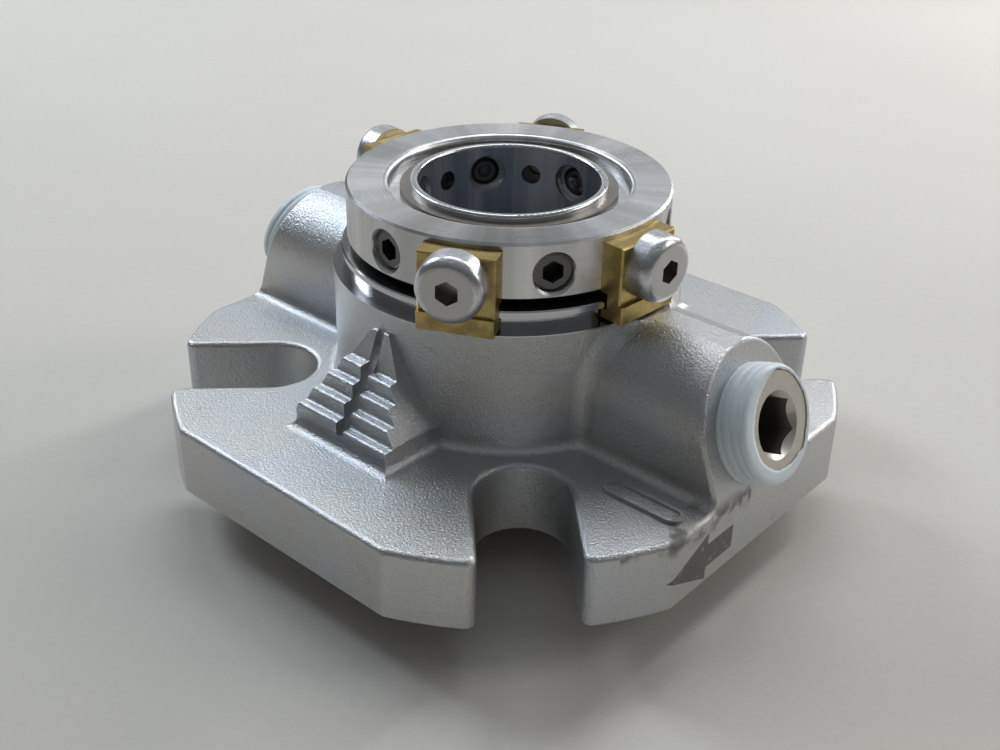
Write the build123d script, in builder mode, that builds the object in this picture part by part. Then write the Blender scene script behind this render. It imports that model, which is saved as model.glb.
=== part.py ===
import math
import os

from build123d import *

os.makedirs("parts", exist_ok=True)

# Cartridge mechanical seal, standing on the inboard end of its sleeve.
# The shaft axis is Z, the inboard (pump) end is at z = 0 and the clamp ring is at the top.
# All sizes are in millimetres.

# Sleeve and shaft
shaft_radius = 14.0
sleeve_wall = 1.25
sleeve_lip_round = 0.45
flange_radius = 20.5
flange_thickness = 5.0

# Gland plate
inboard_reach = 7.5
plate_thickness = 11.6
plate_radius = 53.9
flat_distance = 49.4
slot_half_width = 7.0
slot_centre_radius = 38.0
plate_corner_round = 1.6
plate_edge_round = 0.9
plate_foot_chamfer = 0.5

# Gland hub, and the spigot that the setting clips hook on
hub_radius = 27.3
hub_height = 19.2
hub_root_round = 1.6
root_overlap = 4.0
build_margin = 1.0
groove_radius = 25.0
groove_width = 2.15
lip_reach = 1.0
lip_thickness = 1.0
lip_chamfer = 0.2

# Port bosses and their taper-threaded ports
boss_radius = 11.6
boss_blend = 3.0
boss_edge_round = 0.7
port_height = 26.9
port_face_foot = 0.3
port_tilt = 19.0
port_thread_radius = 8.3
port_thread_depth = 13.0
port_drill_radius = 3.0

# Ribbed gussets between the bosses
gusset_half_width = 9.5
gusset_reach = 36.65
gusset_wall = 3.3
gusset_peak_drop = 3.0
gusset_step_count = 4
gusset_step_height = 2.4
gusset_notch_width = 1.4
gusset_notch_depth = 1.0
gusset_ridge_half_width = 1.7
gusset_far_lift = 1.1
gusset_tread_round = 0.55
gusset_roof_round = 1.0

# Bare raised pad beside the front slot
pad_start = 34.0
pad_end = 47.2
pad_offset = 17.2
pad_width = 3.4
pad_height = 0.6
pad_rim = 0.6
pad_floor_drop = 0.35

# Seal chamber inside the gland
chamber_reach = 2.8
tail_clearance = 0.3
web_bore_gap = 0.7
web_thickness = 2.5
outboard_bore_radius = 21.5

# Rotary face on the sleeve flange
rotary_face_height = 7.6
rotary_clearance = 0.2
rotary_ring_section = 0.9
drive_pin_radius = 0.9
drive_pin_pitch = 18.8
drive_pin_length = 5.0
drive_pin_play = 0.2
face_film = 0.02

# Stationary face, its thrust plate, springs and pins
nose_step = 0.7
nose_width = 2.2
nose_height = 2.0
face_bore_clearance = 0.65
face_body_reach = 0.8
face_body_height = 6.4
tail_wall = 2.3
thrust_plate_thickness = 1.2
thrust_plate_reach = 1.8
spring_count = 6
spring_tail_gap = 2.6
spring_radius = 1.1
spring_wire_radius = 0.22
spring_turns = 6
spring_end_gap = 0.05
spring_gap = 2.0
pocket_depth = 4.0
pocket_radius = 1.5
lock_pin_radius = 1.0
lock_pin_play = 0.3
lock_pin_length = 10.0
lock_pin_seat = 3.5
face_travel = 1.2
stationary_groove_depth = 2.2
stationary_groove_width = 2.4
stationary_ring_section = 1.0
land = 0.7

# Shaft O-ring inside the sleeve
shaft_groove_radius = 16.3
shaft_groove_width = 2.8
shaft_groove_height = 1.2
shaft_ring_section = 1.12

# Gasket in the gland's inboard face
gasket_wall = 1.6
gasket_width = 4.2
gasket_thickness = 1.5
gasket_clearance = 0.1

# Clamp ring, its retaining ring and its screws
ring_gap = 1.2
ring_radius = 25.0
ring_height = 8.65
ring_fit = 0.05
ring_edge_chamfer = 0.35
ring_recess_radius = 18.5
ring_recess_depth = 2.3
ring_dish_round = 1.0
retaining_thickness = 1.2
retaining_width = 1.9
retaining_groove_depth = 0.45
screw_drop = 4.8
ring_turn = -79.0
grub_count = 6
grub_radius = 2.95
grub_hole_radius = 3.0
grub_sink = 0.8
grub_hex = 3.0
grub_rim_depth = 0.4
grub_shoulder_distance = 18.9
grub_point_radius = 2.3
grub_point_play = 0.05
grub_point_bevel = 0.7
grub_cup_radius = 1.2
grub_cup_depth = 0.9
grub_cup_taper = 35.0
grub_socket_share = 0.57
sleeve_hole_radius = 3.1
grub_point_sink = 1.0

# Setting clips and their low-head cap screws
clip_half_width = 5.7
clip_thickness = 3.0
clip_seat_gap = 0.02
clip_edge_chamfer = 0.25
clip_top_drop = 1.0
clip_foot_lift = 0.4
clip_foot_step = 0.6
clip_foot_height = 2.7
clip_root_depth = 2.0
clip_play = 0.3
clip_screw_radius = 2.45
clip_thread_radius = 2.5
clip_hole_radius = 2.75
clip_pilot_radius = 1.6
clip_screw_depth = 6.2
clip_thread_play = 0.5
clip_head_radius = 5.0
clip_head_height = 4.0
clip_head_round = 1.5
clip_hex = 3.2
clip_socket_depth = 2.4

# Port plugs and their thread tape
plug_length = 17.5
plug_proud = 4.6
plug_bevel = 0.6
plug_hex = 8.0
plug_socket_depth = 8.0
plug_mouth_radius = 5.2
plug_mouth_depth = 1.4
plug_mouth_taper = 42.0
tape_thickness = 0.3
tape_thread_pitch = 1.41
tape_ridge = 0.14
tape_fold_width = 1.5

# Levels worked out from the sizes above
sleeve_radius = shaft_radius + sleeve_wall
face_bore_radius = sleeve_radius + face_bore_clearance
nose_inner_radius = face_bore_radius + nose_step
nose_outer_radius = nose_inner_radius + nose_width
web_bore_radius = face_bore_radius + web_bore_gap
tail_radius = face_bore_radius + tail_wall
stationary_groove_radius = tail_radius + stationary_groove_depth
spring_pitch = tail_radius + spring_tail_gap
face_body_radius = spring_pitch + face_body_reach
thrust_plate_radius = spring_pitch + thrust_plate_reach
chamber_radius = spring_pitch + chamber_reach
gasket_inner_radius = chamber_radius + gasket_wall
plate_bottom = inboard_reach
plate_top = plate_bottom + plate_thickness
shoulder_z = plate_top + hub_height
lip_bottom = shoulder_z + groove_width
lip_radius = groove_radius + lip_reach
lip_top = lip_bottom + lip_thickness
ring_bottom = lip_top + ring_gap
ring_top = ring_bottom + ring_height
screw_z = ring_top - screw_drop
recess_floor = ring_top - ring_recess_depth
seal_plane = flange_thickness + rotary_face_height
body_bottom = seal_plane + face_film + nose_height
body_top = body_bottom + face_body_height
thrust_top = body_top + thrust_plate_thickness
chamber_top = thrust_top + spring_gap
stationary_groove_z = chamber_top + pocket_depth + land
tail_top = stationary_groove_z + stationary_groove_width + land
tail_bore_top = tail_top + face_travel + land
web_top = tail_bore_top + web_thickness
tail_bore_radius = tail_radius + tail_clearance
gasket_outer_radius = gasket_inner_radius + gasket_width
port_face_slope = math.tan(math.radians(port_tilt))
port_face_distance = flat_distance - port_face_foot - (port_height - plate_top) * port_face_slope
clip_face_distance = max(ring_radius, groove_radius) + clip_thickness
clip_screw_reach = ring_radius - clip_screw_depth
clip_thread_end = clip_screw_reach - clip_thread_play

# Directions round the shaft axis, in degrees
slot_angles = [-90, 0, 90, 180]
boss_angles = [-45, 135]
gusset_angles = [-135, 45]
grub_angles = [ring_turn + 60 * k for k in range(grub_count)]
clip_angles = [ring_turn - 30, ring_turn + 30, ring_turn + 150, ring_turn + 210]
side_names = ["front", "rear"]


def outward(angle, distance=0.0, height=0.0, tilt=0.0):
    """A plane whose normal points away from the shaft axis, with its x along the tangent."""
    turn = math.radians(angle)
    lean = math.radians(tilt)
    away = Vector(math.cos(turn), math.sin(turn), 0)
    origin = away * distance + Vector(0, 0, height)
    normal = away * math.cos(lean) + Vector(0, 0, math.sin(lean))
    return Plane(origin=origin, x_dir=(-math.sin(turn), math.cos(turn), 0), z_dir=normal)


def side_view(angle):
    """A plane through the shaft axis: x points away from the axis, y points up."""
    turn = math.radians(angle)
    return Plane(
        origin=(0, 0, 0),
        x_dir=(math.cos(turn), math.sin(turn), 0),
        z_dir=(math.sin(turn), -math.cos(turn), 0),
    )


def finish(builder, name):
    """Labels a finished piece and writes it."""
    builder.part.label = name
    export_step(builder.part, "parts/" + name + ".step")
    return builder.part


def hex_radius(across_flats):
    return across_flats / 2 / math.cos(math.radians(30))


# ---------------------------------------------------------------- gland

gusset_peak = shoulder_z - gusset_peak_drop
gusset_eave = plate_top + gusset_wall
gusset_slope = (gusset_reach - hub_radius) / (gusset_peak - gusset_eave)
step_levels = [gusset_eave + gusset_step_height * k for k in range(gusset_step_count)]


def slope_reach(level):
    """How far out the front slope of a gusset stands at a level."""
    return gusset_reach - (level - gusset_eave) * gusset_slope


def is_blend_edge(edge):
    """True for an edge where a port boss runs into the hub."""
    centre = edge.center()
    on_hub = abs(math.hypot(centre.X, centre.Y) - hub_radius) < boss_blend
    beside_boss = centre.X * centre.Y < 0 and min(abs(centre.X), abs(centre.Y)) > 1
    lowest = plate_bottom + 1.2 * build_margin
    return on_hub and beside_boss and lowest < centre.Z < shoulder_z + build_margin


def is_root_edge(edge):
    """True for an edge where the hub, a boss or a gusset meets the top of the plate."""
    centre = edge.center()
    reach = math.hypot(centre.X, centre.Y)
    off_slot = min(abs(centre.X), abs(centre.Y)) > slot_half_width + 0.4
    return reach < slot_centre_radius - slot_half_width or (reach < flat_distance - 0.9 and off_slot)


def tread_profile(lift):
    """Corners of a gusset's stepped side, with every tread raised by a lift."""
    base_z = plate_bottom + build_margin
    corners = [(hub_radius - root_overlap, base_z), (gusset_reach, base_z)]
    for level in step_levels:
        corners.append((slope_reach(level), level + lift))
        corners.append((slope_reach(level + gusset_step_height), level + lift))
    corners.append((hub_radius + gusset_tread_round, gusset_peak))
    corners.append((hub_radius - root_overlap, gusset_peak))
    return corners


with BuildPart() as gusset:
    # Two columns of treads side by side, one higher than the other, with a notch between them
    notch_side = gusset_notch_width / 2
    for lift, start, turned in [(0.0, notch_side, -1), (gusset_far_lift, notch_side, 1)]:
        with BuildSketch(side_view(gusset_angles[0]).offset(start * turned)) as treads:
            with BuildLine():
                Polyline(*tread_profile(lift), close=True)
            make_face()
            above = gusset_eave - build_margin
            steps = [v for v in treads.vertices() if v.Y > above and v.X > hub_radius]
            fillet(steps, gusset_tread_round)
        extrude(amount=(gusset_half_width - start) * turned)
    notch_top = step_levels[-1] + gusset_step_height
    with BuildSketch(side_view(gusset_angles[0])):
        with BuildLine():
            Polyline(
                (hub_radius - root_overlap, plate_bottom + build_margin),
                (gusset_reach, plate_bottom + build_margin),
                (gusset_reach, gusset_eave - gusset_notch_depth),
                (gusset_reach - gusset_notch_depth, gusset_eave - gusset_notch_depth),
                (slope_reach(notch_top) - gusset_notch_depth, notch_top),
                (hub_radius - root_overlap, gusset_peak),
                close=True,
            )
        make_face()
    extrude(amount=notch_side, both=True)
    # A roof that slopes to both sides
    with BuildSketch(outward(gusset_angles[0])) as roof:
        with BuildLine():
            Polyline(
                (-gusset_half_width, plate_bottom),
                (gusset_half_width, plate_bottom),
                (gusset_half_width, gusset_eave),
                (gusset_ridge_half_width, gusset_peak),
                (-gusset_ridge_half_width, gusset_peak),
                (-gusset_half_width, gusset_eave),
                close=True,
            )
        make_face()
        fillet([v for v in roof.vertices() if v.Y > plate_top], gusset_roof_round)
    extrude(amount=gusset_reach, mode=Mode.INTERSECT)

# Plate outline: a circle with four flats and four open stud slots
with BuildSketch(Plane.XY.offset(plate_bottom)) as outline:
    Circle(plate_radius)
    Rectangle(2 * flat_distance, 2 * flat_distance, rotation=45, mode=Mode.INTERSECT)
    slot_length = plate_radius - slot_centre_radius + build_margin
    with PolarLocations(slot_centre_radius + slot_length / 2, len(slot_angles)):
        Rectangle(slot_length, 2 * slot_half_width, mode=Mode.SUBTRACT)
    with PolarLocations(slot_centre_radius, len(slot_angles)):
        Circle(slot_half_width, mode=Mode.SUBTRACT)
    rim = [v for v in outline.vertices() if math.hypot(v.X, v.Y) > flat_distance + 0.5]
    fillet(rim, plate_corner_round)

with BuildPart() as envelope:
    # The space the casting may fill: the plate with its rounded rim, and the forms that stand on it
    extrude(to_extrude=outline.sketch, amount=plate_thickness)
    fillet(envelope.faces().sort_by(Axis.Z)[-1].edges(), plate_edge_round)
    chamfer(envelope.faces().sort_by(Axis.Z)[0].edges(), plate_foot_chamfer)
    with BuildSketch(Plane.XY.offset(plate_top - plate_edge_round)):
        Circle(hub_radius + hub_root_round)
        with PolarLocations(0, 2, start_angle=gusset_angles[0]):
            Rectangle(2 * (gusset_reach + hub_root_round), 2 * (gusset_half_width + hub_root_round))
        with PolarLocations(0, 2, start_angle=boss_angles[0]):
            Rectangle(2 * (flat_distance + build_margin), 2 * (boss_radius + hub_root_round))
    extrude(amount=2 * hub_height)

with BuildPart() as gland:
    # Hub, left tall so that the machined shoulder cuts off the boss blends
    with BuildSketch(Plane.XY.offset(plate_bottom)):
        Circle(hub_radius)
    extrude(amount=lip_top + boss_blend + build_margin - plate_bottom)
    # Two arch-shaped port bosses
    for angle in boss_angles:
        with BuildSketch(outward(angle)):
            with Locations((0, port_height)):
                Circle(boss_radius)
            with Locations((0, (plate_bottom + build_margin + port_height) / 2)):
                Rectangle(2 * boss_radius, port_height - plate_bottom - build_margin)
        extrude(amount=flat_distance)
    fillet([edge for edge in gland.edges() if is_blend_edge(edge)], boss_blend)
    # Two gussets, stepped towards the rim and sloping to both sides
    add(gusset.part)
    add(gusset.part.rotate(Axis.Z, gusset_angles[1] - gusset_angles[0]))
    extrude(to_extrude=outline.sketch, amount=plate_thickness)
    top_edges = gland.edges().filter_by_position(Axis.Z, plate_top - 0.01, plate_top + 0.01)
    fillet([edge for edge in top_edges if is_root_edge(edge)], hub_root_round)
    # Tilted port faces, cut back from the flats
    for angle in boss_angles:
        with BuildSketch(outward(angle, port_face_distance, port_height, port_tilt)):
            Rectangle(2 * (boss_radius + hub_root_round), 4 * boss_radius)
        extrude(amount=4 * boss_radius, mode=Mode.SUBTRACT)
    for angle in boss_angles:
        face_plane = outward(angle, port_face_distance, port_height, port_tilt)
        arch_edges = [
            edge
            for edge in gland.edges()
            if abs(face_plane.to_local_coords(edge.center()).Z) < 0.01
            and edge.center().Z > plate_top + hub_root_round
        ]
        fillet(arch_edges, boss_edge_round)
    add(envelope.part, mode=Mode.INTERSECT)
    # Bare raised pad with a rim, beside the front slot
    pad_plane = Plane(
        origin=(0, 0, plate_top),
        x_dir=outward(boss_angles[0]).z_dir,
        z_dir=(0, 0, 1),
    )
    pad_length = pad_end - pad_start
    with BuildSketch(pad_plane):
        with Locations(((pad_start + pad_end) / 2, -pad_offset)):
            SlotOverall(pad_length, pad_width)
    extrude(amount=pad_height)
    with BuildSketch(pad_plane.offset(pad_height - pad_floor_drop)):
        with Locations(((pad_start + pad_end) / 2, -pad_offset)):
            SlotOverall(pad_length - 2 * pad_rim, pad_width - 2 * pad_rim)
    extrude(amount=pad_height, mode=Mode.SUBTRACT)
    # Spigot: shoulder, clip groove and lip
    with BuildSketch(Plane.XY.offset(shoulder_z)):
        Circle(plate_radius)
        Circle(groove_radius, mode=Mode.SUBTRACT)
    extrude(amount=plate_radius, mode=Mode.SUBTRACT)
    with BuildSketch(Plane.XY.offset(lip_top)):
        Circle(plate_radius)
    extrude(amount=plate_radius, mode=Mode.SUBTRACT)
    with BuildSketch(Plane.XY.offset(lip_bottom)):
        Circle(lip_radius)
    extrude(amount=lip_thickness)
    lip_edges = gland.edges().filter_by_position(Axis.Z, lip_top - 0.01, lip_top + 0.01)
    chamfer(lip_edges, lip_chamfer)
    # Seal chamber, O-ring groove, web bore and outboard bore
    with BuildSketch(Plane.XZ):
        with BuildLine():
            Polyline(
                (0, plate_bottom - build_margin),
                (chamber_radius, plate_bottom - build_margin),
                (chamber_radius, chamber_top),
                (tail_bore_radius, chamber_top),
                (tail_bore_radius, stationary_groove_z),
                (stationary_groove_radius, stationary_groove_z),
                (stationary_groove_radius, stationary_groove_z + stationary_groove_width),
                (tail_bore_radius, stationary_groove_z + stationary_groove_width),
                (tail_bore_radius, tail_bore_top),
                (web_bore_radius, tail_bore_top),
                (web_bore_radius, web_top),
                (outboard_bore_radius, web_top),
                (outboard_bore_radius, lip_top + build_margin),
                (0, lip_top + build_margin),
                close=True,
            )
        make_face()
    revolve(axis=Axis.Z, mode=Mode.SUBTRACT)
    # Spring pockets and seats for the locking pins
    with BuildSketch(Plane.XY.offset(chamber_top)):
        with PolarLocations(spring_pitch, spring_count, start_angle=180 / spring_count):
            Circle(pocket_radius)
    extrude(amount=pocket_depth, mode=Mode.SUBTRACT)
    with BuildSketch(Plane.XY.offset(chamber_top)):
        with PolarLocations(spring_pitch, 2):
            Circle(lock_pin_radius)
    extrude(amount=lock_pin_seat, mode=Mode.SUBTRACT)
    # Recess for the gasket
    with BuildSketch(Plane.XY.offset(plate_bottom)):
        Circle(gasket_outer_radius + gasket_clearance)
        Circle(gasket_inner_radius - gasket_clearance, mode=Mode.SUBTRACT)
    extrude(amount=gasket_thickness, mode=Mode.SUBTRACT)
    # Ports: a threaded mouth, and a drilled way into the chamber
    for angle in boss_angles:
        with BuildSketch(outward(angle, port_face_distance, port_height, port_tilt)):
            Circle(port_thread_radius)
        extrude(amount=-port_thread_depth, mode=Mode.SUBTRACT)
        with BuildSketch(outward(angle, port_face_distance, port_height, port_tilt)):
            Circle(port_drill_radius)
        drill_length = (port_face_distance - chamber_radius) / math.cos(math.radians(port_tilt))
        extrude(amount=-drill_length - port_drill_radius, mode=Mode.SUBTRACT)
finish(gland, "gland")

with BuildPart() as gland_gasket:
    with BuildSketch(Plane.XY.offset(plate_bottom)):
        Circle(gasket_outer_radius)
        Circle(gasket_inner_radius, mode=Mode.SUBTRACT)
    extrude(amount=gasket_thickness)
finish(gland_gasket, "gland_gasket")

# ---------------------------------------------------------------- port plugs and tape

plug_radius = port_thread_radius
for side, angle in zip(side_names, boss_angles):
    face_plane = outward(angle, port_face_distance, port_height, port_tilt)

    with BuildPart() as plug:
        with BuildSketch(face_plane.offset(plug_proud - tape_thickness)):
            Circle(plug_radius)
        extrude(amount=tape_thickness - plug_length)
        chamfer(plug.edges().filter_by(GeomType.CIRCLE), plug_bevel)
        with BuildSketch(face_plane.offset(plug_proud)):
            RegularPolygon(hex_radius(plug_hex), 6, rotation=30)
        extrude(amount=-plug_socket_depth, mode=Mode.SUBTRACT)
        with BuildSketch(face_plane.offset(plug_proud)):
            Circle(plug_mouth_radius)
        extrude(amount=-plug_mouth_depth, taper=plug_mouth_taper, mode=Mode.SUBTRACT)
    finish(plug, side + "_port_plug")

    # Tape over the thread that stands out, ridged by it and folded over the rim of the plug
    ridge_count = int((plug_proud - plug_bevel - tape_thickness) / tape_thread_pitch)
    outside = plug_radius + tape_thickness
    points = [(plug_radius, 0), (outside, 0)]
    for ridge in range(ridge_count):
        points.append((outside + tape_ridge, tape_thread_pitch * (ridge + 0.5)))
        points.append((outside, tape_thread_pitch * (ridge + 1)))
    end = plug_proud - tape_thickness
    points.append((outside, end - plug_bevel))
    points.append((plug_radius - plug_bevel + tape_thickness, plug_proud))
    points.append((plug_radius - tape_fold_width, plug_proud))
    points.append((plug_radius - tape_fold_width, end))
    points.append((plug_radius - plug_bevel, end))
    points.append((plug_radius, end - plug_bevel))
    section = Plane(
        origin=face_plane.origin,
        x_dir=face_plane.x_dir,
        z_dir=face_plane.z_dir.cross(face_plane.x_dir) * -1,
    )
    with BuildPart() as tape:
        with BuildSketch(section):
            with BuildLine():
                Polyline(*points, close=True)
            make_face()
        revolve(axis=Axis(face_plane.origin, face_plane.z_dir))
    finish(tape, side + "_thread_tape")

# ---------------------------------------------------------------- stationary face and its springs

with BuildPart() as stationary_face:
    with BuildSketch(Plane.XZ):
        with BuildLine():
            Polyline(
                (nose_inner_radius, seal_plane + face_film),
                (nose_outer_radius, seal_plane + face_film),
                (nose_outer_radius, body_bottom),
                (face_body_radius, body_bottom),
                (face_body_radius, body_top),
                (tail_radius, body_top),
                (tail_radius, tail_top),
                (face_bore_radius, tail_top),
                (face_bore_radius, body_bottom),
                (nose_inner_radius, body_bottom),
                close=True,
            )
        make_face()
    revolve(axis=Axis.Z)
    with BuildSketch(Plane.XY.offset(body_top)):
        with PolarLocations(spring_pitch, 2):
            Circle(lock_pin_radius + lock_pin_play)
    pin_in_face = lock_pin_length - lock_pin_seat - (chamber_top - body_top)
    extrude(amount=-pin_in_face - face_travel - lock_pin_play, mode=Mode.SUBTRACT)
finish(stationary_face, "stationary_face")

with BuildPart() as thrust_plate:
    with BuildSketch(Plane.XY.offset(body_top)):
        Circle(thrust_plate_radius)
        Circle(tail_bore_radius, mode=Mode.SUBTRACT)
        with PolarLocations(spring_pitch, 2):
            Circle(lock_pin_radius + lock_pin_play, mode=Mode.SUBTRACT)
    extrude(amount=thrust_plate_thickness)
finish(thrust_plate, "thrust_plate")

spring_length = chamber_top + pocket_depth - thrust_top
for number in range(spring_count):
    turn = math.radians(360 / spring_count * (number + 0.5))
    spring_x = spring_pitch * math.cos(turn)
    spring_y = spring_pitch * math.sin(turn)
    coil_height = spring_length - 2 * spring_wire_radius - 2 * spring_end_gap
    foot = (spring_x, spring_y, thrust_top + spring_wire_radius + spring_end_gap)
    with BuildPart() as spring:
        with BuildLine():
            coil = Helix(coil_height / spring_turns, coil_height, spring_radius, center=foot)
        with BuildSketch(Plane(origin=coil @ 0, z_dir=coil % 0)):
            Circle(spring_wire_radius)
        sweep(is_frenet=True)
    finish(spring, "face_spring_" + str(number + 1))

for number in range(2):
    with BuildPart() as lock_pin:
        with BuildSketch(Plane.XY.offset(chamber_top + lock_pin_seat)):
            with Locations((spring_pitch * (1 - 2 * number), 0)):
                Circle(lock_pin_radius)
        extrude(amount=-lock_pin_length)
    finish(lock_pin, "lock_pin_" + str(number + 1))

with BuildPart() as stationary_o_ring:
    ring_height_z = stationary_groove_z + stationary_groove_width / 2
    with BuildSketch(Plane.XZ):
        with Locations(((tail_radius + stationary_groove_radius) / 2, ring_height_z)):
            Circle(stationary_ring_section)
    revolve(axis=Axis.Z)
finish(stationary_o_ring, "stationary_o_ring")

# ---------------------------------------------------------------- sleeve and rotary face

with BuildPart() as sleeve:
    with BuildSketch(Plane.XY):
        Circle(flange_radius)
    extrude(amount=flange_thickness)
    with BuildSketch(Plane.XY):
        Circle(sleeve_radius)
    extrude(amount=ring_top)
    with BuildSketch(Plane.XY):
        Circle(shaft_radius)
    extrude(amount=ring_top, mode=Mode.SUBTRACT)
    fillet(sleeve.edges().filter_by_position(Axis.Z, ring_top, ring_top), sleeve_lip_round)
    chamfer(sleeve.faces().sort_by(Axis.Z)[0].edges(), sleeve_lip_round)
    # Groove inside for the shaft O-ring
    with BuildSketch(Plane.XY.offset(shaft_groove_height)):
        Circle(shaft_groove_radius)
    extrude(amount=shaft_groove_width, mode=Mode.SUBTRACT)
    # Groove outside for the retaining ring
    with BuildSketch(Plane.XY.offset(recess_floor)):
        Circle(sleeve_radius + build_margin)
        Circle(sleeve_radius - retaining_groove_depth, mode=Mode.SUBTRACT)
    extrude(amount=retaining_thickness, mode=Mode.SUBTRACT)
    # Holes for the grub screw points, and smaller ones behind the clip screws
    for angle in grub_angles:
        with BuildSketch(outward(angle, 0, screw_z)):
            Circle(sleeve_hole_radius)
        extrude(amount=flange_radius, mode=Mode.SUBTRACT)
    for angle in clip_angles:
        with BuildSketch(outward(angle, 0, screw_z)):
            Circle(clip_pilot_radius)
        extrude(amount=flange_radius, mode=Mode.SUBTRACT)
    # Seats for the drive pins
    with BuildSketch(Plane.XY.offset(flange_thickness)):
        with PolarLocations(drive_pin_pitch, 2):
            Circle(drive_pin_radius)
    extrude(amount=-drive_pin_length / 2, mode=Mode.SUBTRACT)
finish(sleeve, "sleeve")

with BuildPart() as shaft_o_ring:
    with BuildSketch(Plane.XZ):
        ring_centre = shaft_groove_radius - shaft_ring_section - rotary_clearance / 10
        with Locations((ring_centre, shaft_groove_height + shaft_groove_width / 2)):
            Circle(shaft_ring_section)
    revolve(axis=Axis.Z)
finish(shaft_o_ring, "shaft_o_ring")

rotary_bore_radius = sleeve_radius + rotary_clearance
rotary_pocket_radius = sleeve_radius + 2 * rotary_ring_section + rotary_clearance / 2
with BuildPart() as rotary_face:
    with BuildSketch(Plane.XY.offset(flange_thickness)):
        Circle(flange_radius)
        Circle(rotary_bore_radius, mode=Mode.SUBTRACT)
    extrude(amount=rotary_face_height)
    with BuildSketch(Plane.XY.offset(flange_thickness)):
        Circle(rotary_pocket_radius)
    extrude(amount=2 * rotary_ring_section + 2 * rotary_clearance, mode=Mode.SUBTRACT)
    with BuildSketch(Plane.XY.offset(flange_thickness)):
        with PolarLocations(drive_pin_pitch, 2):
            Circle(drive_pin_radius + drive_pin_play)
    extrude(amount=drive_pin_length / 2 + drive_pin_play, mode=Mode.SUBTRACT)
finish(rotary_face, "rotary_face")

with BuildPart() as rotary_o_ring:
    with BuildSketch(Plane.XZ):
        ring_centre = (sleeve_radius + rotary_pocket_radius) / 2
        with Locations((ring_centre, flange_thickness + rotary_ring_section + rotary_clearance / 2)):
            Circle(rotary_ring_section)
    revolve(axis=Axis.Z)
finish(rotary_o_ring, "rotary_o_ring")

for number in range(2):
    with BuildPart() as drive_pin:
        with BuildSketch(Plane.XY.offset(flange_thickness - drive_pin_length / 2)):
            with Locations((drive_pin_pitch * (1 - 2 * number), 0)):
                Circle(drive_pin_radius)
        extrude(amount=drive_pin_length)
    finish(drive_pin, "drive_pin_" + str(number + 1))

# ---------------------------------------------------------------- clamp ring and its screws

with BuildPart() as clamp_ring:
    with BuildSketch(Plane.XY.offset(ring_bottom)):
        Circle(ring_radius)
        Circle(sleeve_radius + ring_fit, mode=Mode.SUBTRACT)
    extrude(amount=ring_height)
    outer_edges = [edge for edge in clamp_ring.edges() if edge.length > 2 * math.pi * ring_recess_radius]
    chamfer(outer_edges, ring_edge_chamfer)
    with BuildSketch(Plane.XY.offset(ring_top)):
        Circle(ring_recess_radius)
    extrude(amount=-ring_recess_depth, mode=Mode.SUBTRACT)
    top_edges = clamp_ring.edges().filter_by_position(Axis.Z, ring_top, ring_top)
    fillet(top_edges.sort_by(SortBy.LENGTH)[0], ring_dish_round)
    for angle in grub_angles:
        with BuildSketch(outward(angle, 0, screw_z)):
            Circle(grub_point_radius + grub_point_play)
        extrude(amount=ring_radius, mode=Mode.SUBTRACT)
        with BuildSketch(outward(angle, grub_shoulder_distance, screw_z)):
            Circle(grub_hole_radius)
        extrude(amount=ring_radius, mode=Mode.SUBTRACT)
        rim_plane = outward(angle, ring_radius - grub_rim_depth, screw_z)
        with BuildSketch(rim_plane):
            Circle(grub_hole_radius)
        with BuildSketch(rim_plane.offset(2 * grub_rim_depth)):
            Circle(grub_hole_radius + 2 * grub_rim_depth)
        loft(mode=Mode.SUBTRACT)
    for angle in clip_angles:
        with BuildSketch(outward(angle, clip_thread_end, screw_z)):
            Circle(clip_thread_radius)
        extrude(amount=ring_radius, mode=Mode.SUBTRACT)
        with BuildSketch(outward(angle, 0, screw_z)):
            Circle(clip_pilot_radius)
        extrude(amount=ring_radius, mode=Mode.SUBTRACT)
finish(clamp_ring, "clamp_ring")

with BuildPart() as retaining_ring:
    with BuildSketch(Plane.XY.offset(recess_floor)):
        retaining_inner = sleeve_radius - retaining_groove_depth + ring_fit
        Circle(retaining_inner + retaining_width)
        Circle(retaining_inner, mode=Mode.SUBTRACT)
    extrude(amount=retaining_thickness)
finish(retaining_ring, "retaining_ring")

grub_start = shaft_radius + grub_point_sink
grub_end = ring_radius - grub_sink
grub_socket_depth = grub_socket_share * (grub_end - grub_shoulder_distance)
for number, angle in enumerate(grub_angles):
    with BuildPart() as grub:
        with BuildSketch(outward(angle, grub_shoulder_distance, screw_z).offset(grub_point_play)):
            Circle(grub_radius)
        extrude(amount=grub_end - grub_shoulder_distance - grub_point_play)
        with BuildSketch(outward(angle, grub_start, screw_z)):
            Circle(grub_point_radius)
        extrude(amount=grub_end - grub_start - grub_socket_depth)
        ends = grub.edges().filter_by(GeomType.CIRCLE)
        nearest = min(ends, key=lambda edge: edge.center().length)
        chamfer(nearest, grub_point_bevel)
        ends = grub.edges().filter_by(GeomType.CIRCLE)
        farthest = max(ends, key=lambda edge: edge.center().length)
        chamfer(farthest, grub_rim_depth)
        with BuildSketch(outward(angle, grub_end, screw_z)):
            RegularPolygon(hex_radius(grub_hex), 6, rotation=30)
        extrude(amount=-grub_socket_depth, mode=Mode.SUBTRACT)
        with BuildSketch(outward(angle, grub_start, screw_z)):
            Circle(grub_cup_radius)
        extrude(amount=grub_cup_depth, taper=grub_cup_taper, mode=Mode.SUBTRACT)
    finish(grub, "grub_screw_" + str(number + 1))

# ---------------------------------------------------------------- setting clips and their screws

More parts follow.
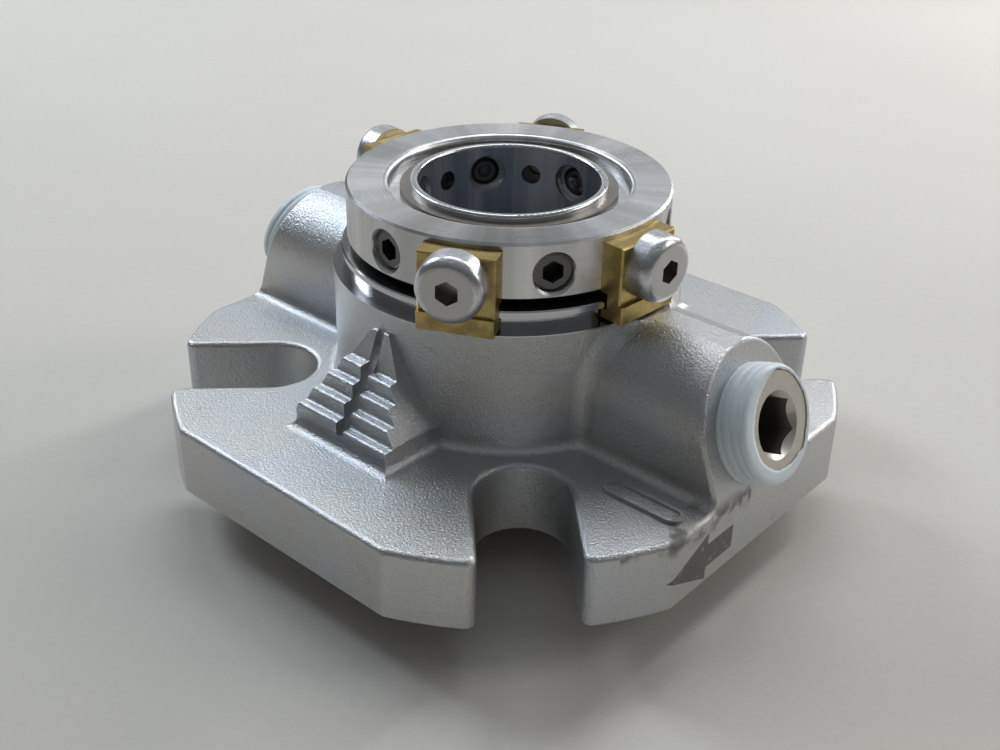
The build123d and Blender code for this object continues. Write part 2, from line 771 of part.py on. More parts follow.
clip_top = ring_top - clip_top_drop
clip_bottom = shoulder_z + clip_foot_lift
for number, angle in enumerate(clip_angles):
    with BuildPart() as clip:
        # Block with a thicker foot, as seen from the side
        with BuildSketch(side_view(angle)):
            with BuildLine():
                Polyline(
                    (groove_radius - clip_root_depth, clip_bottom),
                    (clip_face_distance + clip_foot_step, clip_bottom),
                    (clip_face_distance + clip_foot_step, clip_bottom + clip_foot_height),
                    (clip_face_distance, clip_bottom + clip_foot_height),
                    (clip_face_distance, clip_top),
                    (groove_radius - clip_root_depth, clip_top),
                    close=True,
                )
            make_face()
        extrude(amount=clip_half_width, both=True)
        away = side_view(angle).x_dir
        front_edges = [
            edge
            for edge in clip.edges()
            if edge.center().dot(away) > clip_face_distance - clip_edge_chamfer
            and (abs(edge.tangent_at(0.5).Z) > 0.9 or edge.center().Z > clip_top - clip_edge_chamfer)
        ]
        chamfer(front_edges, clip_edge_chamfer)
        # Curved back: on the ring, clear of the lip, and into the groove
        with BuildSketch(Plane.XY.offset(clip_bottom)):
            Circle(groove_radius + clip_play)
        extrude(amount=ring_bottom - clip_bottom, mode=Mode.SUBTRACT)
        with BuildSketch(Plane.XY.offset(lip_bottom - clip_play)):
            Circle(lip_radius + clip_play)
        extrude(amount=ring_bottom - lip_bottom + clip_play, mode=Mode.SUBTRACT)
        with BuildSketch(Plane.XY.offset(ring_bottom)):
            Circle(ring_radius + clip_seat_gap)
        extrude(amount=ring_height, mode=Mode.SUBTRACT)
        with BuildSketch(outward(angle, 0, screw_z)):
            Circle(clip_hole_radius)
        extrude(amount=clip_face_distance + 1, mode=Mode.SUBTRACT)
    finish(clip, "setting_clip_" + str(number + 1))

    with BuildPart() as clip_screw:
        head_top = outward(angle, clip_face_distance + clip_head_height, screw_z)
        with BuildSketch(head_top):
            Circle(clip_head_radius)
        extrude(amount=-clip_head_height)
        rim = max(clip_screw.edges().filter_by(GeomType.CIRCLE), key=lambda edge: edge.center().length)
        fillet(rim, clip_head_round)
        with BuildSketch(outward(angle, clip_screw_reach, screw_z)):
            Circle(clip_screw_radius)
        extrude(amount=clip_face_distance - clip_screw_reach)
        with BuildSketch(head_top):
            RegularPolygon(hex_radius(clip_hex), 6, rotation=30)
        extrude(amount=-clip_socket_depth, mode=Mode.SUBTRACT)
    finish(clip_screw, "clip_screw_" + str(number + 1))
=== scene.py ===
import math

import bpy
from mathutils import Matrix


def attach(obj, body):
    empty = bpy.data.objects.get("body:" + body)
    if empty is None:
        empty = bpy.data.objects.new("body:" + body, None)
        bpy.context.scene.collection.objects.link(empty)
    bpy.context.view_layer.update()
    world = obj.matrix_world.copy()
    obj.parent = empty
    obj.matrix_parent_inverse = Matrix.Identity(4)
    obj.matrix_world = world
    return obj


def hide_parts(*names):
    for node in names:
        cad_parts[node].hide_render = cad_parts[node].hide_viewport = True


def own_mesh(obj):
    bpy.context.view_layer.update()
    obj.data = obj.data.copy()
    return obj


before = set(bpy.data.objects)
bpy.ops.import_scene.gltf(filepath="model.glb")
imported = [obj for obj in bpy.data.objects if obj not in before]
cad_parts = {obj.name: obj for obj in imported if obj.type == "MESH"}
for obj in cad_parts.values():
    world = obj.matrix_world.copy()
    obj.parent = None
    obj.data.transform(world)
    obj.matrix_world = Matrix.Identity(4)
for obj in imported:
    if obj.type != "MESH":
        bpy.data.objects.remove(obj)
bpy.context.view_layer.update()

MM = 0.001

# ---------------------------------------------------------------- camera and lamps

scene = bpy.context.scene
scene.view_settings.view_transform = "Standard"

camera_data = bpy.data.cameras.new("studio_camera")
camera_data.sensor_width = 36.0
camera_data.lens = 46.72
camera = bpy.data.objects.new("studio_camera", camera_data)
camera.location = (-0.014124, -0.186325, 0.12428)
camera.rotation_euler = (math.radians(59.969), math.radians(-1.064), math.radians(-3.478))
scene.collection.objects.link(camera)
scene.camera = camera


def soft_light(name, place, target, width, height, power, colour):
    """A rectangular lamp that faces a point on the seal."""
    lamp = bpy.data.lights.new(name, "AREA")
    lamp.shape = "RECTANGLE"
    lamp.size = width
    lamp.size_y = height
    lamp.energy = power
    lamp.color = colour
    holder = bpy.data.objects.new(name, lamp)
    holder.location = place
    to_target = [t - p for t, p in zip(target, place)]
    flat = math.hypot(to_target[0], to_target[1])
    holder.rotation_euler = (
        math.atan2(flat, -to_target[2]),
        0,
        math.atan2(to_target[1], to_target[0]) - math.pi / 2,
    )
    scene.collection.objects.link(holder)


# Name, place, point it faces, width, height, power and colour
soft_light("overhead", (0.05, 0.42, 0.72), (0, 0, 0.02), 0.55, 0.35, 1.9, (0.91, 0.955, 1.0))
soft_light("left_window", (-0.50, 0.45, 0.50), (0, 0, 0.03), 0.26, 0.26, 2.6, (0.80, 0.90, 1.0))
soft_light("right_strip", (0.42, 0.34, 0.34), (0, 0, 0.045), 0.06, 0.40, 1.5, (0.97, 0.98, 1.0))
soft_light("right_window", (0.70, 0, 0.40), (0, 0, 0.03), 0.30, 0.30, 1.1, (1.0, 0.98, 0.95))
soft_light("back_glow", (0, 0.80, 0.25), (0, 0, 0.03), 0.80, 0.20, 0.45, (0.95, 0.97, 1.0))


# ---------------------------------------------------------------- shader helpers


class Signal:
    """A shader socket that can be used in sums. Each sum adds a Math node."""

    def __init__(self, finish, socket):
        self.finish = finish
        self.socket = socket

    def math(self, operation, *values):
        return self.finish.node("ShaderNodeMath", {"operation": operation}, dict(enumerate(values)))

    def __add__(self, other):
        return self.math("ADD", self, other)

    __radd__ = __add__

    def __sub__(self, other):
        return self.math("SUBTRACT", self, other)

    def __rsub__(self, other):
        return self.math("SUBTRACT", other, self)

    def __mul__(self, other):
        return self.math("MULTIPLY", self, other)

    __rmul__ = __mul__

    def __pow__(self, other):
        return self.math("POWER", self, other)

    def __abs__(self):
        return self.math("ABSOLUTE", self)

    def __gt__(self, other):
        return self.math("GREATER_THAN", self, other)

    def __lt__(self, other):
        return self.math("LESS_THAN", self, other)

    def larger(self, other):
        return self.math("MAXIMUM", self, other)

    def between(self, low, high):
        """0 below low, 1 above high, and a smooth step from one to the other."""
        return self.finish.node(
            "ShaderNodeMapRange",
            {"interpolation_type": "SMOOTHSTEP"},
            {"Value": self, "From Min": low, "From Max": high},
        )


class Finish:
    """A procedural material. Lengths inside it are in millimetres on the seal."""

    def __init__(self, name, **constants):
        self.material = bpy.data.materials.new(name)
        self.material.use_nodes = True
        self.tree = self.material.node_tree
        self.shader = self.tree.nodes["Principled BSDF"]
        for key, value in constants.items():
            socket_name = key.replace("_", " ").title()
            self.shader.inputs[socket_name].default_value = value
        self.place = self.node("ShaderNodeTexCoord", output="Object")
        parts = self.node("ShaderNodeSeparateXYZ", {}, {"Vector": self.place}, output=None)
        self.x = Signal(self, parts.outputs[0]) * 1000
        self.y = Signal(self, parts.outputs[1]) * 1000
        self.z = Signal(self, parts.outputs[2]) * 1000
        self.radius = (self.x * self.x + self.y * self.y) ** 0.5
        self.angle = self.x.math("ARCTAN2", self.y, self.x)

    def node(self, kind, settings=None, inputs=None, output=0):
        """Adds a node: its settings first, then the values or links of its sockets."""
        made = self.tree.nodes.new(kind)
        for key, value in (settings or {}).items():
            setattr(made, key, value)
        for key, value in (inputs or {}).items():
            if isinstance(value, Signal):
                self.tree.links.new(value.socket, made.inputs[key])
            else:
                made.inputs[key].default_value = value
        return made if output is None else Signal(self, made.outputs[output])

    def noise(self, size, detail=3.0, rough=0.55, vector=None):
        """Cloudy noise with features about size millimetres across.

        A vector made from the finish's own lengths is in millimetres already.
        """
        scale = 1.0 / size if vector is not None else 1000.0 / size
        inputs = {"Vector": vector or self.place, "Scale": scale, "Detail": detail}
        inputs["Roughness"] = rough
        return self.node("ShaderNodeTexNoise", {}, inputs, output="Fac")

    def cells(self, size):
        """A random shade for each grain about size millimetres across."""
        inputs = {"Vector": self.place, "Scale": 1000.0 / size}
        return self.node("ShaderNodeTexVoronoi", {}, inputs, output="Color")

    def vector(self, x, y, z):
        """A texture place made of three signals or numbers."""
        return self.node("ShaderNodeCombineXYZ", {}, {0: x, 1: y, 2: z})

    def turning(self, size, along=0.35):
        """Fine lines left by a lathe tool: they run round the shaft axis."""
        return self.noise(size, 4.0, 0.6, self.vector(self.radius, self.z, self.angle * along))

    def repeated(self, first, step, height):
        """For features every step degrees round the axis, from the first one's angle, at a height.

        Gives the distance out along the nearest one, and the distance from its centre line.
        """
        two_turns = 720
        turn = self.angle * (180 / math.pi) - first + step / 2 + two_turns
        off = (turn.math("MODULO", turn, step) - step / 2) * (math.pi / 180)
        across = self.radius * off.math("SINE", off)
        lift = self.z - height
        return self.radius * off.math("COSINE", off), (across * across + lift * lift) ** 0.5

    def mix(self, factor, first, second):
        """A colour or shade between two others."""
        first = (*first, 1.0) if isinstance(first, tuple) else first
        second = (*second, 1.0) if isinstance(second, tuple) else second
        inputs = {"Factor": factor, 6: first, 7: second}
        return self.node("ShaderNodeMix", {"data_type": "RGBA"}, inputs, output=2)

    def tone(self, colour, amount):
        """A colour made lighter or darker: amount 1 leaves it as it is."""
        level = self.vector(amount, amount, amount)
        settings = {"data_type": "RGBA", "blend_type": "MULTIPLY"}
        return self.node("ShaderNodeMix", settings, {"Factor": 1.0, 6: colour, 7: level}, output=2)

    def set(self, socket_name, value):
        """Feeds a signal to a socket of the shader."""
        self.tree.links.new(value.socket, self.shader.inputs[socket_name])

    def relief(self, *layers):
        """Bumps one over another. Each is a height from 0 to 1 and its depth in millimetres."""
        normal = None
        for height, depth in layers:
            inputs = {"Height": height, "Distance": depth * MM, "Strength": 1.0}
            if normal is not None:
                inputs["Normal"] = normal
            normal = self.node("ShaderNodeBump", {}, inputs)
        self.set("Normal", normal)


def dress(finish, *node_names):
    """Gives CAD nodes a finish."""
    for node_name in node_names:
        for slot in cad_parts[node_name].material_slots:
            slot.material = finish.material


# ---------------------------------------------------------------- world and floor

# Bright above, darker towards the sides, and a plain pale backdrop for the camera
world = bpy.data.worlds.new("studio")
scene.world = world
world.use_nodes = True
sky = world.node_tree
backdrop_colour = (0.66, 0.65, 0.625, 1.0)
backdrop_strength = 0.75
background = sky.nodes["Background"]
look = sky.nodes.new("ShaderNodeTexCoord")
split = sky.nodes.new("ShaderNodeSeparateXYZ")
sky.links.new(look.outputs["Generated"], split.inputs[0])
ramp = sky.nodes.new("ShaderNodeValToRGB")
stops = [
    (0.0, (0.13, 0.12, 0.11)),
    (0.5, (0.13, 0.12, 0.115)),
    (0.62, (0.09, 0.09, 0.09)),
    (0.8, (0.19, 0.20, 0.215)),
    (1.0, (0.30, 0.32, 0.345)),
]
while len(ramp.color_ramp.elements) < len(stops):
    ramp.color_ramp.elements.new(0.5)
for element, (position, colour) in zip(ramp.color_ramp.elements, stops):
    element.position = position
    element.color = (*colour, 1.0)

# The ramp runs from straight down at 0 to straight up at 1
lift = sky.nodes.new("ShaderNodeMath")
lift.operation = "MULTIPLY_ADD"
lift.inputs[1].default_value = 0.5
lift.inputs[2].default_value = 0.5
sky.links.new(split.outputs[2], lift.inputs[0])
sky.links.new(lift.outputs[0], ramp.inputs[0])

# The camera sees the backdrop's colour, and everything else is lit by the ramp
path = sky.nodes.new("ShaderNodeLightPath")
choice = sky.nodes.new("ShaderNodeMix")
choice.data_type = "RGBA"
sky.links.new(path.outputs["Is Camera Ray"], choice.inputs["Factor"])
sky.links.new(ramp.outputs["Color"], choice.inputs[6])
choice.inputs[7].default_value = backdrop_colour
sky.links.new(choice.outputs[2], background.inputs["Color"])
background.inputs["Strength"].default_value = backdrop_strength

floor_width = 6.0
floor_drop = 0.02
fade_start = 350
fade_end = 900

bpy.ops.object.select_all(action="DESELECT")
bpy.ops.mesh.primitive_plane_add(size=floor_width, location=(0, 0, -floor_drop * MM))
floor = bpy.context.object
floor.name = "floor"
paper = Finish("floor_paper", roughness=0.9)
fibres = paper.noise(1.6, 6.0, 0.7)
paper_tone = fibres * 0.6 + paper.noise(60.0, 5.0) * 0.4
paper.set("Base Color", paper.mix(paper_tone, (0.60, 0.565, 0.51), (0.72, 0.69, 0.635)))
paper.relief((fibres, 0.05))

# Far off, the floor takes the backdrop's colour, so that no edge shows between them
glow_inputs = {"Color": backdrop_colour, "Strength": backdrop_strength}
glow = paper.node("ShaderNodeEmission", {}, glow_inputs)
seen = paper.node("ShaderNodeLightPath", output="Is Camera Ray")
paper_shade = Signal(paper, paper.shader.outputs[0])
far = paper.radius.between(fade_start, fade_end) * seen
faded = paper.node("ShaderNodeMixShader", {}, {0: far, 1: paper_shade, 2: glow})
paper.tree.links.new(faded.socket, paper.tree.nodes["Material Output"].inputs["Surface"])
floor.data.materials.append(paper.material)

# ---------------------------------------------------------------- finishes

# Blasted casting, with the machined spigot, bores and foot
hub_radius = 27.35
shoulder_height = 38.1
bore_radius = 23.7
foot_height = 7.56
casting = Finish("blasted_casting")
machined = (casting.radius < hub_radius) * (casting.z > shoulder_height)
machined = machined.larger(casting.radius < bore_radius).larger(casting.z < foot_height)
cast = 1 - machined
fine_grain = casting.noise(0.36, 3.0, 0.65)
coarse_grain = casting.noise(0.75, 2.0, 0.6)
clouds = casting.noise(14.0, 3.0, 0.5)
pits = casting.noise(2.6, 4.0, 0.65).between(0.62, 0.72)
tool_lines = casting.turning(0.16)
cast_tone = 0.66 + 0.42 * fine_grain + 0.20 * clouds - 0.16 * pits
cast_hue = casting.mix(clouds.between(0.4, 0.62), (0.62, 0.615, 0.60), (0.575, 0.59, 0.61))
colour = casting.tone(cast_hue, cast_tone)

# Etched arrow on the plate's flat below the front port. Out is the distance from the axis
# towards that port, and side runs along the flat.
arrow_height = 12.45
arrow_tip = -22.6
arrow_neck = -13.4
arrow_tail = -6.9
arrow_head_slope = 0.43
arrow_half_shaft = 2.0
flat_start = 47.4
out = (casting.x - casting.y) * math.sqrt(0.5)
side = (casting.x + casting.y) * math.sqrt(0.5)
off_line = abs(casting.z - arrow_height)
head = (off_line < (side - arrow_tip) * arrow_head_slope) * (side < arrow_neck)
shaft = (off_line < arrow_half_shaft) * (side > arrow_neck - 0.1) * (side < arrow_tail)
arrow = head.larger(shaft) * (out > flat_start)
etched = arrow * casting.noise(0.9, 3.0).between(0.2, 0.42)

# Painted shade in patches along the fold above the arrow, where the boss meets the plate
fold_height = 17.2
fold_slope = 0.06
fold_shade_start = 45.5
fold_shade_end = -3
fold_shade_patches = casting.noise(3.5, 4.0, 0.6).between(0.42, 0.62)
fold_shade_line = 1 - abs(casting.z - fold_height + fold_slope * side).between(0.2, 2.6)
fold_shade = fold_shade_line * (out > fold_shade_start) * (side < fold_shade_end) * fold_shade_patches

colour = casting.mix(etched * 0.9, colour, (0.085, 0.083, 0.08))
# The fold takes a darker brownish colour: painted shade
colour = casting.mix(fold_shade * 0.75 * cast, colour, (0.12, 0.105, 0.085))
turned_hue = casting.mix(tool_lines, (0.50, 0.50, 0.51), (0.62, 0.62, 0.62))
bright = casting.tone(turned_hue, 0.94 + 0.04 * clouds)
casting.set("Base Color", casting.mix(machined, colour, bright))
cast_roughness = 0.25 + 0.12 * clouds + 0.25 * fold_shade
casting.set("Roughness", cast_roughness * cast + (0.09 + 0.10 * tool_lines) * machined)
casting.set("Metallic", 0.94 + 0.04 * machined - 0.6 * etched)
casting.relief(
    (coarse_grain * cast, 0.045),
    (fine_grain * cast, 0.14),
    (tool_lines * machined, 0.012),
)
dress(casting, "gland")

# Turned clamp ring
ring = Finish("turned_ring", metallic=1.0, anisotropic=0.9)
ring_lines = ring.turning(0.22, 0.05)
ring_bands = ring.turning(0.9, 0.12)
# Painted sheen: lighter and darker streaks that fan out round the ring by angle
painted_sheen_fan = ring.noise(1.0, 4.0, 0.6, ring.vector(ring.angle * 2.4, 0.0, 0.0)).between(0.35, 0.65)
smear = ring.noise(7.0, 4.0, 0.6)
ring_hue = ring.mix(ring_lines, (0.60, 0.60, 0.605), (0.70, 0.695, 0.69))
ring.set("Base Color", ring.tone(ring_hue, 0.70 + 0.42 * painted_sheen_fan))
ring.set("Roughness", 0.19 + 0.08 * ring_lines + 0.05 * ring_bands + 0.06 * smear)
ring.relief((ring_lines, 0.008), (ring_bands, 0.006))
dress(ring, "clamp_ring")

# Polished sleeve, duller inside its bore
sleeve_bore_reach = 14.3
sleeve_lip_foot = 50.8
sleeve = Finish("polished_sleeve", metallic=1.0, anisotropic=0.4)
sleeve_lines = sleeve.turning(0.12)
inside = (sleeve.radius < sleeve_bore_reach) * (sleeve.z < sleeve_lip_foot)
# Light and bluish bands round the bore are painted reflections
round_bore = sleeve.vector(sleeve.angle * 1.5, 0.0, 0.0)
bore_reflection_bands = sleeve.noise(1.0, 4.0, 0.6, round_bore).between(0.38, 0.62)
bore_painted_reflections = sleeve.mix(bore_reflection_bands, (0.42, 0.46, 0.53), (0.92, 0.93, 0.94))
outer_colour = sleeve.mix(sleeve_lines, (0.55, 0.56, 0.57), (0.68, 0.68, 0.68))
sleeve.set("Base Color", sleeve.mix(inside, outer_colour, bore_painted_reflections))
sleeve.set("Roughness", 0.14 + 0.12 * sleeve_lines + 0.06 * sleeve.noise(5.0, 3.0) + 0.14 * inside)
sleeve.relief((sleeve_lines, 0.006))
dress(sleeve, "sleeve")

# Retaining ring
keeper = Finish("retaining_ring_steel", metallic=0.9)
keeper_lines = keeper.turning(0.15)
keeper_colour = keeper.mix(keeper.noise(2.0, 4.0), (0.235, 0.205, 0.18), (0.33, 0.30, 0.265))
keeper.set("Base Color", keeper_colour)
keeper.set("Roughness", 0.30 + 0.18 * keeper_lines)
keeper.relief((keeper_lines, 0.01))
dress(keeper, "retaining_ring")

# Machined brass clips
brass = Finish("clip_brass", metallic=1.0)
across_clip = brass.vector(brass.z, brass.x * 0.06, brass.y * 0.06)
down_clip = brass.vector(brass.z * 0.1, brass.x + brass.y, brass.z * 0.2)
mill_lines = brass.noise(0.16, 4.0, 0.6, across_clip)
stain = brass.noise(3.2, 4.0, 0.6).between(0.40, 0.68)
scratches = brass.noise(0.25, 2.0, 0.5, down_clip).between(0.66, 0.74)
brass_colour = brass.mix(stain, (0.50, 0.385, 0.145), (0.36, 0.275, 0.11))
brass.set("Base Color", brass.mix(scratches * 0.4, brass_colour, (0.70, 0.60, 0.34)))
brass.set("Roughness", 0.26 + 0.18 * mill_lines + 0.12 * stain)
brass.relief((mill_lines, 0.012), (scratches, 0.006))
dress(brass, *["setting_clip_" + str(number) for number in range(1, 5)])

# The clip screws and the grub screws stand at one height. Both sets fall on places 60 degrees
# apart round the axis, and the first angle is one of them.
screw_height = 46.5
screw_step = 60
clip_screw_angle = -109
grub_screw_angle = -79

# Clip screws: satin flat face, bright tumbled rim, painted shade in the hex socket
clip_head_reach = 31.97
clip_socket_reach = 31.9
clip_socket_radius = 1.95
screw = Finish("clip_screw_steel", metallic=0.95)
along, from_axis = screw.repeated(clip_screw_angle, screw_step, screw_height)
flat_face = along > clip_head_reach
socket = (from_axis < clip_socket_radius) * (along < clip_socket_reach)
rim = (1 - flat_face) * (1 - socket)
beads = screw.cells(0.35)
rim_dents = screw.noise(0.5, 2.0)
face_lines = screw.noise(0.12, 3.0, 0.6, screw.vector(from_axis, 0.0, 0.0))
rim_colour = screw.mix(beads, (0.56, 0.57, 0.58), (0.72, 0.72, 0.73))
head_colour = screw.mix(flat_face, rim_colour, (0.57, 0.555, 0.54))
rim_roughness = (0.26 + 0.10 * rim_dents) * rim
face_roughness = (0.42 + 0.08 * face_lines) * flat_face
# The socket's darker colour is painted shade
screw.set("Base Color", screw.mix(socket, head_colour, (0.34, 0.32, 0.31)))
screw.set("Roughness", rim_roughness + face_roughness + 0.35 * socket)
screw.relief((rim_dents * rim, 0.025), (beads * rim, 0.02), (face_lines * flat_face, 0.004))
dress(screw, *["clip_screw_" + str(number) for number in range(1, 5)])

# Grub screws: painted highlight on the rim, dull end, painted shade in the threaded socket
grub_rim_radius = 2.58
grub_rim_reach = 23.0
grub_end_reach = 24.1
grub = Finish("grub_screw_steel", metallic=0.95)
grub_out, grub_off = grub.repeated(grub_screw_angle, screw_step, screw_height)
grub_fine = grub.noise(0.3, 4.0)
grub_rim = (grub_off > grub_rim_radius) * (grub_out > grub_rim_reach)
grub_end = (grub_off < grub_rim_radius) * (grub_out > grub_end_reach)
grub_threads = grub.noise(0.3, 1.0, 0.5, grub.vector(grub_out, 0.0, 0.0))
# The socket and threads take painted shade, and the rim below takes a painted highlight
grub_socket_shade = grub.mix(grub_threads.between(0.45, 0.6), (0.10, 0.095, 0.09), (0.34, 0.33, 0.33))
grub_end_and_socket_shade = grub.mix(grub_end, grub_socket_shade, (0.17, 0.165, 0.16))
grub_rim_highlight = grub.mix(grub_fine, (0.42, 0.42, 0.42), (0.70, 0.69, 0.68))
grub.set("Base Color", grub.mix(grub_rim, grub_end_and_socket_shade, grub_rim_highlight))
grub.set("Roughness", 0.26 + 0.2 * grub_fine + 0.1 * grub_end)
grub.relief((grub_fine, 0.02), (grub_threads, 0.03))
dress(grub, *["grub_screw_" + str(number) for number in range(1, 7)])

# The two ports: angles round the axis, tilt up from level, and the middle of the mouth. The
# plug's end stands out from there.
front_port_angle = -45
rear_port_angle = 135
port_tilt = math.radians(19.0)
port_distance = 46.41
port_height = 26.9
plug_end = 4.3

# Port plugs, with painted shade deeper down in the hex socket
plug = Finish("plug_steel", metallic=0.85)
plug_out = plug.repeated(front_port_angle, rear_port_angle - front_port_angle, port_height)[0]
plug_rise = (plug.z - port_height) * math.sin(port_tilt)
plug_depth = plug_end - (plug_out - port_distance) * math.cos(port_tilt) - plug_rise
plug_fine = plug.noise(0.25, 4.0)
plug_clouds = plug.noise(2.5, 3.0)
plug_colour = plug.mix(plug_clouds, (0.56, 0.53, 0.47), (0.68, 0.65, 0.59))
# Painted shade that deepens down the socket
plug_socket_shade = plug_depth.between(0.6, 3.2) * 0.85
plug.set("Base Color", plug.mix(plug_socket_shade, plug_colour, (0.13, 0.12, 0.11)))
plug.set("Roughness", 0.34 + 0.16 * plug_fine)
plug.relief((plug_fine, 0.01))
dress(plug, "front_port_plug", "rear_port_plug")

# Thread tape
tape_finish = Finish("thread_tape", roughness=0.42, subsurface_weight=0.15, subsurface_scale=0.001)
tape_clouds = tape_finish.noise(2.2, 4.0)
creases = tape_finish.noise(0.7, 4.0, 0.6)
tape_colour = tape_finish.mix(tape_clouds, (0.84, 0.885, 0.915), (0.93, 0.95, 0.965))
tape_finish.set("Base Color", tape_colour)
tape_finish.relief((creases, 0.05))

# The tape's wall and thread ridges, and the rows of faces that it is made in
tape_radius = 8.38
tape_thickness = 0.06
thread_pitch = 1.41
thread_depth = 0.33
tape_rows = 38
tape_row_height = 0.1
tape_wall_height = tape_rows * tape_row_height
tape_segments = 180

# The ridges fade out round the plug's corner, where the tape bridges them
ridge_fade_end = tape_wall_height + 0.2
ridge_fade_length = 0.7
bridge_rise = 0.15
fold_start = tape_wall_height + 0.4

# The fold over the plug's end: the radius of each row, and its rise over the row before
fold_rows = [
    (8.36, 0.14), (8.26, 0.16), (8.12, 0.15), (7.9, 0.12),
    (7.6, 0.05), (7.2, -0.01), (6.7, -0.01), (6.2, -0.01),
]
fold_outer_radius = 8.12
fold_inner_radius = fold_rows[-1][0]

# The fold's torn edge: angles round the plug, in radians, and the radius that it reaches
torn_edge = [
    (-math.pi, 6.05), (-2.2, 6.25), (-1.5, 6.5), (-1.05, 6.75), (-0.85, 7.5),
    (-0.55, 7.15), (-0.1, 7.55), (0.9, 7.75), (1.15, 7.85), (1.32, 8.05),
    (1.6, 7.25), (1.95, 6.6), (2.35, 6.15), (math.pi, 6.05),
]


def fold_edge(turn):
    """How near the axis the folded tape reaches at an angle."""
    for (start, first), (end, second) in zip(torn_edge, torn_edge[1:]):
        if start <= turn <= end:
            reach = first + (second - first) * (turn - start) / (end - start)
    return reach + 0.05 * math.sin(9 * turn) + 0.035 * math.sin(27 * turn + 0.7)


def place_on_port(piece, angle):
    """Moves a piece made at the origin, pointing up, to a port's mouth, pointing out of it."""
    turn = math.radians(angle)
    out_x = port_distance * math.cos(turn)
    out_y = port_distance * math.sin(turn)
    piece.rotation_euler = (math.pi / 2 - port_tilt, 0, turn + math.pi / 2)
    piece.location = (out_x * MM, out_y * MM, port_height * MM)
    bpy.ops.object.transform_apply(location=True, rotation=True, scale=True)


def tape_shift(distance, turn, z):
    """How far out a point of the tape moves: over the thread's ridges, or to the torn edge."""
    phase = z / thread_pitch - turn / (2 * math.pi)
    ridge = math.sqrt(1 - (2 * (phase % 1) - 1) ** 2)
    fade = max(0.0, min(1.0, (ridge_fade_end - z) / ridge_fade_length))
    wrinkle = 0.008 * math.sin(23 * turn + 2.1 * z) + 0.006 * math.sin(41 * turn - 3.7 * z + 1.3)
    shift = thread_depth * ridge * fade + bridge_rise * (1 - fade) + wrinkle
    if z > fold_start:
        fold_width = fold_outer_radius - fold_inner_radius
        inward = max(0.0, (fold_outer_radius - distance) / fold_width)
        shift = shift * (1 - inward) + inward * (fold_edge(turn) - fold_inner_radius)
    return shift


def wrapped_tape(side, angle):
    """Tape wound over the plug's thread and folded over its end."""
    bpy.ops.object.select_all(action="DESELECT")
    bpy.ops.mesh.primitive_circle_add(
        vertices=tape_segments, radius=tape_radius * MM, location=(0, 0, 0)
    )
    tape = bpy.context.object
    tape.name = side + "_tape_wrap"
    bpy.ops.object.mode_set(mode="EDIT")
    bpy.ops.mesh.select_all(action="SELECT")
    for _ in range(tape_rows):
        step = (0, 0, tape_row_height * MM)
        bpy.ops.mesh.extrude_region_move(TRANSFORM_OT_translate={"value": step})
    radius = tape_radius
    for new_radius, rise in fold_rows:
        bpy.ops.mesh.extrude_region_move(TRANSFORM_OT_translate={"value": (0, 0, rise * MM)})
        ratio = new_radius / radius
        bpy.ops.transform.resize(value=(ratio, ratio, 1))
        radius = new_radius
    bpy.ops.object.mode_set(mode="OBJECT")
    for vertex in tape.data.vertices:
        x, y, z = (value / MM for value in vertex.co)
        distance = math.hypot(x, y)
        scale = (distance + tape_shift(distance, math.atan2(y, x), z)) / distance
        vertex.co.x *= scale
        vertex.co.y *= scale
    solid = tape.modifiers.new("wall", "SOLIDIFY")
    solid.thickness = tape_thickness * MM
    solid.offset = -1
    bpy.ops.object.modifier_apply(modifier=solid.name)
    bpy.ops.object.mode_set(mode="EDIT")
    bpy.ops.mesh.select_all(action="SELECT")
    bpy.ops.mesh.normals_make_consistent(inside=False)
    bpy.ops.object.mode_set(mode="OBJECT")
    bpy.ops.object.shade_smooth()
    place_on_port(tape, angle)
    tape.data.materials.append(tape_finish.material)
    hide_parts(side + "_thread_tape")
    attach(tape, "housing")


wrapped_tape("front", front_port_angle)
wrapped_tape("rear", rear_port_angle)

# Pins, plate and springs inside
steel = Finish("inner_steel", metallic=1.0)
steel_fine = steel.noise(0.3, 3.0)
steel.set("Base Color", steel.mix(steel_fine, (0.44, 0.44, 0.45), (0.56, 0.56, 0.56)))
steel.set("Roughness", 0.25 + 0.15 * steel_fine)
steel.relief((steel_fine, 0.006))
dress(steel, "thrust_plate", "lock_pin_1", "lock_pin_2", "drive_pin_1", "drive_pin_2")

# The springs stand on the thrust plate, a small gap above it and a small gap below the
# housing's pockets.
spring_count = 6
spring_first_angle = 30
spring_pitch = 20.8
spring_foot = 22.27
spring_top = 28.17
spring_radius = 1.1
spring_wire_radius = 0.22
spring_turns = 6
spring_wire_sides = 12
spring_steps_per_turn = 20
spring_smooth_angle = math.radians(50)


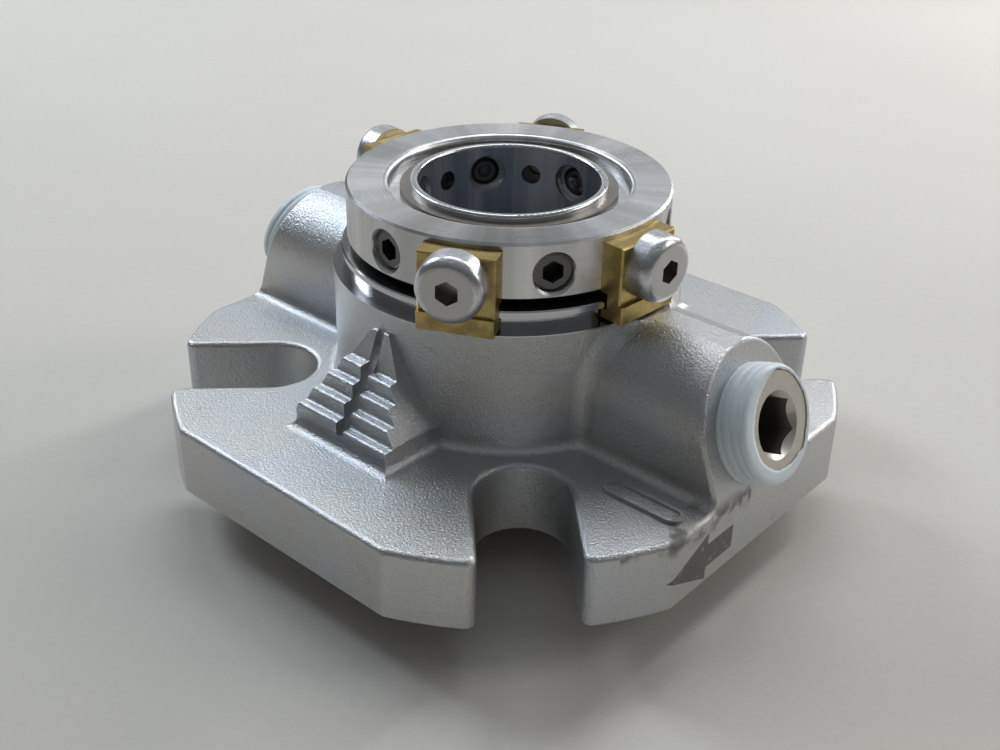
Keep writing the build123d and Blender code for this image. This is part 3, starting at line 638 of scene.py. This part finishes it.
def coil_spring():
    """A coil of round wire that stands on the origin."""
    centre_rise = spring_top - spring_foot - 2 * spring_wire_radius
    bpy.ops.object.select_all(action="DESELECT")
    bpy.ops.mesh.primitive_circle_add(
        vertices=spring_wire_sides, radius=spring_wire_radius * MM, location=(0, 0, 0)
    )
    coil = bpy.context.object
    bpy.ops.object.mode_set(mode="EDIT")
    bpy.ops.mesh.select_all(action="SELECT")
    bpy.ops.transform.rotate(value=math.pi / 2, orient_axis="X", center_override=(0, 0, 0))
    bpy.ops.transform.translate(value=(spring_radius * MM, 0, spring_wire_radius * MM))
    bpy.ops.object.mode_set(mode="OBJECT")
    winding = coil.modifiers.new("winding", "SCREW")
    winding.angle = 2 * math.pi
    winding.screw_offset = centre_rise / spring_turns * MM
    winding.iterations = spring_turns
    winding.steps = spring_steps_per_turn
    winding.render_steps = spring_steps_per_turn
    bpy.ops.object.modifier_apply(modifier=winding.name)
    bpy.ops.object.mode_set(mode="EDIT")
    bpy.ops.mesh.select_all(action="SELECT")
    bpy.ops.mesh.remove_doubles(threshold=0.000001)
    bpy.ops.mesh.fill_holes(sides=0)
    bpy.ops.mesh.normals_make_consistent(inside=False)
    bpy.ops.object.mode_set(mode="OBJECT")
    bpy.ops.object.shade_smooth_by_angle(angle=spring_smooth_angle)
    coil.data.materials.append(steel.material)
    return coil


first_coil = coil_spring()
for index in range(spring_count):
    number = str(index + 1)
    turn = math.radians(spring_first_angle + index * 360 / spring_count)
    place = (spring_pitch * math.cos(turn) * MM, spring_pitch * math.sin(turn) * MM)
    spring = first_coil.copy()
    spring.data = first_coil.data.copy()
    spring.name = "coil_" + number
    scene.collection.objects.link(spring)
    bpy.ops.object.select_all(action="DESELECT")
    spring.select_set(True)
    bpy.context.view_layer.objects.active = spring
    spring.location = (*place, spring_foot * MM)
    bpy.ops.object.transform_apply(location=True, rotation=True, scale=True)
    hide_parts("face_spring_" + number)
    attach(spring, "housing")
    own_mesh(spring)
bpy.data.objects.remove(first_coil)

# O-rings, gasket and the two sealing faces
elastomer = Finish("o_ring_elastomer")
elastomer_fine = elastomer.noise(0.4, 3.0)
elastomer_colour = elastomer.mix(elastomer_fine, (0.018, 0.018, 0.019), (0.035, 0.035, 0.036))
elastomer.set("Base Color", elastomer_colour)
elastomer.set("Roughness", 0.42 + 0.18 * elastomer_fine)
elastomer.relief((elastomer_fine, 0.01))
dress(elastomer, "shaft_o_ring", "rotary_o_ring", "stationary_o_ring")

gasket = Finish("gasket_sheet")
gasket_fibre = gasket.noise(0.5, 5.0, 0.7)
gasket.set("Base Color", gasket.mix(gasket_fibre, (0.045, 0.05, 0.055), (0.09, 0.095, 0.10)))
gasket.set("Roughness", 0.62 + 0.2 * gasket_fibre)
gasket.relief((gasket_fibre, 0.03))
dress(gasket, "gland_gasket")

ceramic = Finish("face_ceramic")
ceramic_fine = ceramic.turning(0.2)
ceramic.set("Base Color", ceramic.mix(ceramic_fine, (0.035, 0.036, 0.04), (0.06, 0.061, 0.066)))
ceramic.set("Roughness", 0.16 + 0.12 * ceramic_fine)
ceramic.relief((ceramic_fine, 0.003))
dress(ceramic, "rotary_face")

carbon = Finish("face_carbon")
carbon_fine = carbon.turning(0.2)
carbon.set("Base Color", carbon.mix(carbon_fine, (0.022, 0.022, 0.023), (0.045, 0.045, 0.046)))
carbon.set("Roughness", 0.34 + 0.18 * carbon_fine)
carbon.relief((carbon_fine, 0.006))
dress(carbon, "stationary_face")
